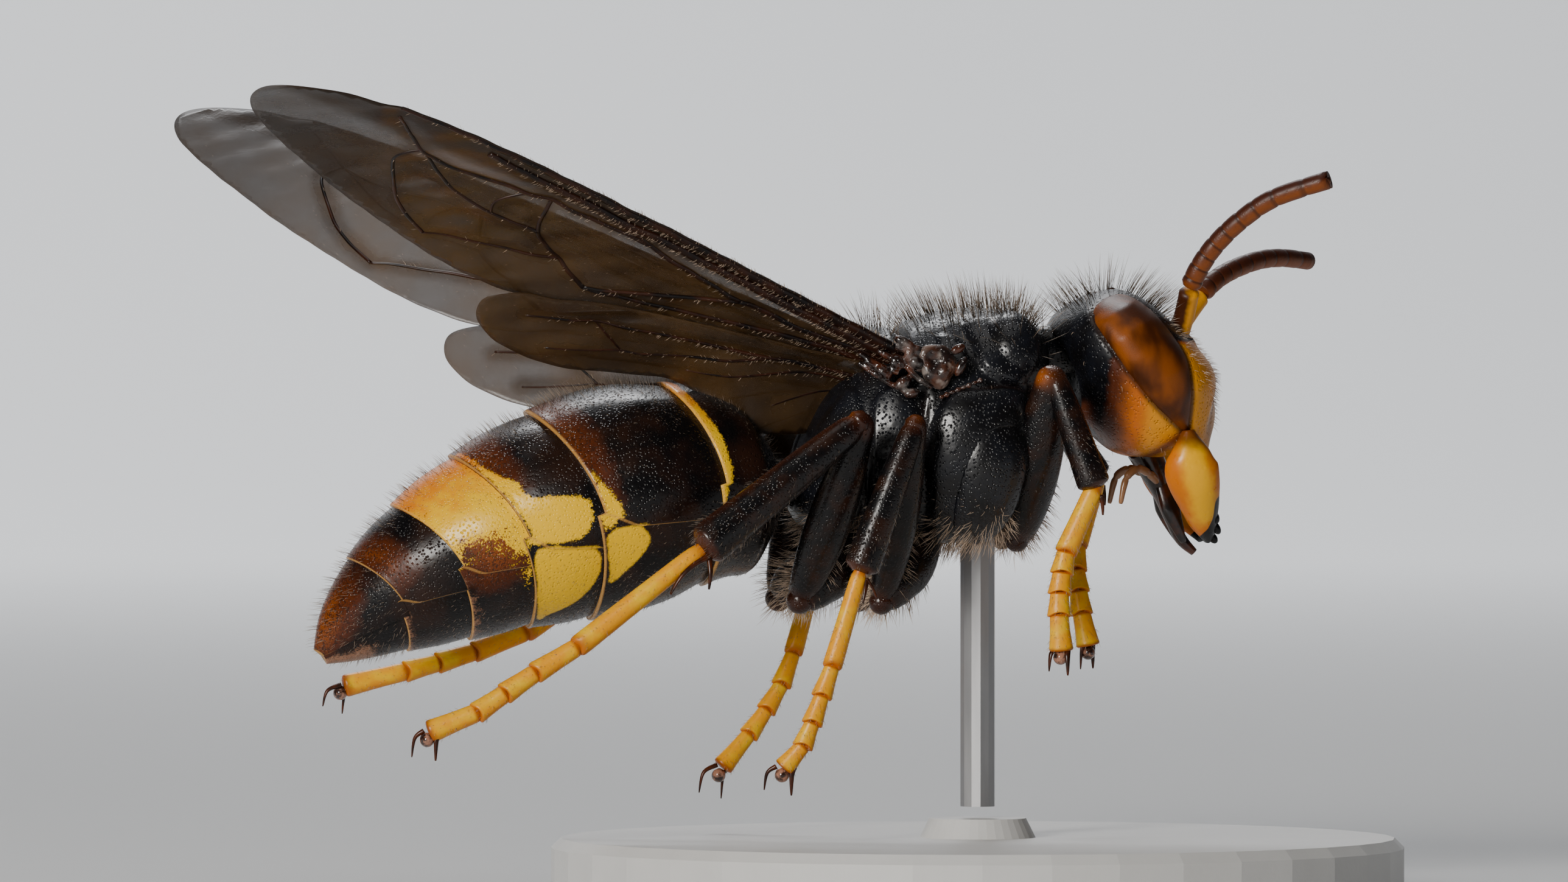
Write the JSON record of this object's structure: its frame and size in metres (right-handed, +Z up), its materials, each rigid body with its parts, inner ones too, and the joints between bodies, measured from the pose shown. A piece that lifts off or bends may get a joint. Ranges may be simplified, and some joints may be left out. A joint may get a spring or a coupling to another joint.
{
  "type": "yellow-legged asian hornet",
  "caption": "Life-size still model of a yellow-legged hornet in flight, wings swept up and back, held over a flat base by a rod.",
  "frame": {"origin": "centre of the underside of the stand's base, where it rests on a table", "axes": "+X towards the hornet's head, +Y towards its left side, +Z up"},
  "size_m": [0.0308, 0.0238, 0.0209],
  "materials": {
    "head_cuticle": "satin cuticle, black behind, orange face, fine pits and short hairs",
    "compound_eye": "smooth gloss, dark red-brown with fine facets",
    "jaw_yellow": "satin yellow-orange with black teeth",
    "mouth_brown": "soft brown, short pale hairs",
    "antenna_brown": "matte brown, orange beneath, finely downy",
    "thorax_cuticle": "satin black with fine pits and a bluish sheen, erect hairs",
    "gaster_cuticle": "satin black-brown with orange and yellow bands",
    "wing_membrane": "smoky brown translucent membrane with dark veins",
    "leg_dark": "glossy black-brown with orange joints",
    "leg_yellow": "satin bright yellow with brown joints and dark claws",
    "stand_base": "satin off-white",
    "stand_rod": "satin steel"
  },
  "bodies": {
    "root": {"head": "head_cuticle", "eye_left": "compound_eye", "eye_right": "compound_eye", "mandible_left": "jaw_yellow", "mandible_right": "jaw_yellow", "mouthparts": "mouth_brown", "scape_left": "antenna_brown", "scape_right": "antenna_brown", "flagellum_left": "antenna_brown", "flagellum_right": "antenna_brown", "neck": "thorax_cuticle", "thorax": "thorax_cuticle", "tegula_left": "thorax_cuticle", "tegula_right": "thorax_cuticle", "gaster_1": "gaster_cuticle", "gaster_2": "gaster_cuticle", "gaster_3": "gaster_cuticle", "gaster_4": "gaster_cuticle", "gaster_5": "gaster_cuticle", "gaster_6": "gaster_cuticle", "forewing_left": "wing_membrane", "forewing_right": "wing_membrane", "hindwing_left": "wing_membrane", "hindwing_right": "wing_membrane", "leg_front_right_coxa": "leg_dark", "leg_front_right_femur": "leg_dark", "leg_front_right_tibia": "leg_dark", "leg_front_right_tarsus": "leg_yellow", "leg_front_left_coxa": "leg_dark", "leg_front_left_femur": "leg_dark", "leg_front_left_tibia": "leg_dark", "leg_front_left_tarsus": "leg_yellow", "leg_middle_right_coxa": "leg_dark", "leg_middle_right_femur": "leg_dark", "leg_middle_right_tibia": "leg_dark", "leg_middle_right_tarsus": "leg_yellow", "leg_middle_left_coxa": "leg_dark", "leg_middle_left_femur": "leg_dark", "leg_middle_left_tibia": "leg_dark", "leg_middle_left_tarsus": "leg_yellow", "leg_hind_right_coxa": "leg_dark", "leg_hind_right_femur": "leg_dark", "leg_hind_right_tibia": "leg_dark", "leg_hind_right_tarsus": "leg_yellow", "leg_hind_left_coxa": "leg_dark", "leg_hind_left_femur": "leg_dark", "leg_hind_left_tibia": "leg_dark", "leg_hind_left_tarsus": "leg_yellow", "stand_base": "stand_base", "stand_rod": "stand_rod"}
  },
  "joints": []
}
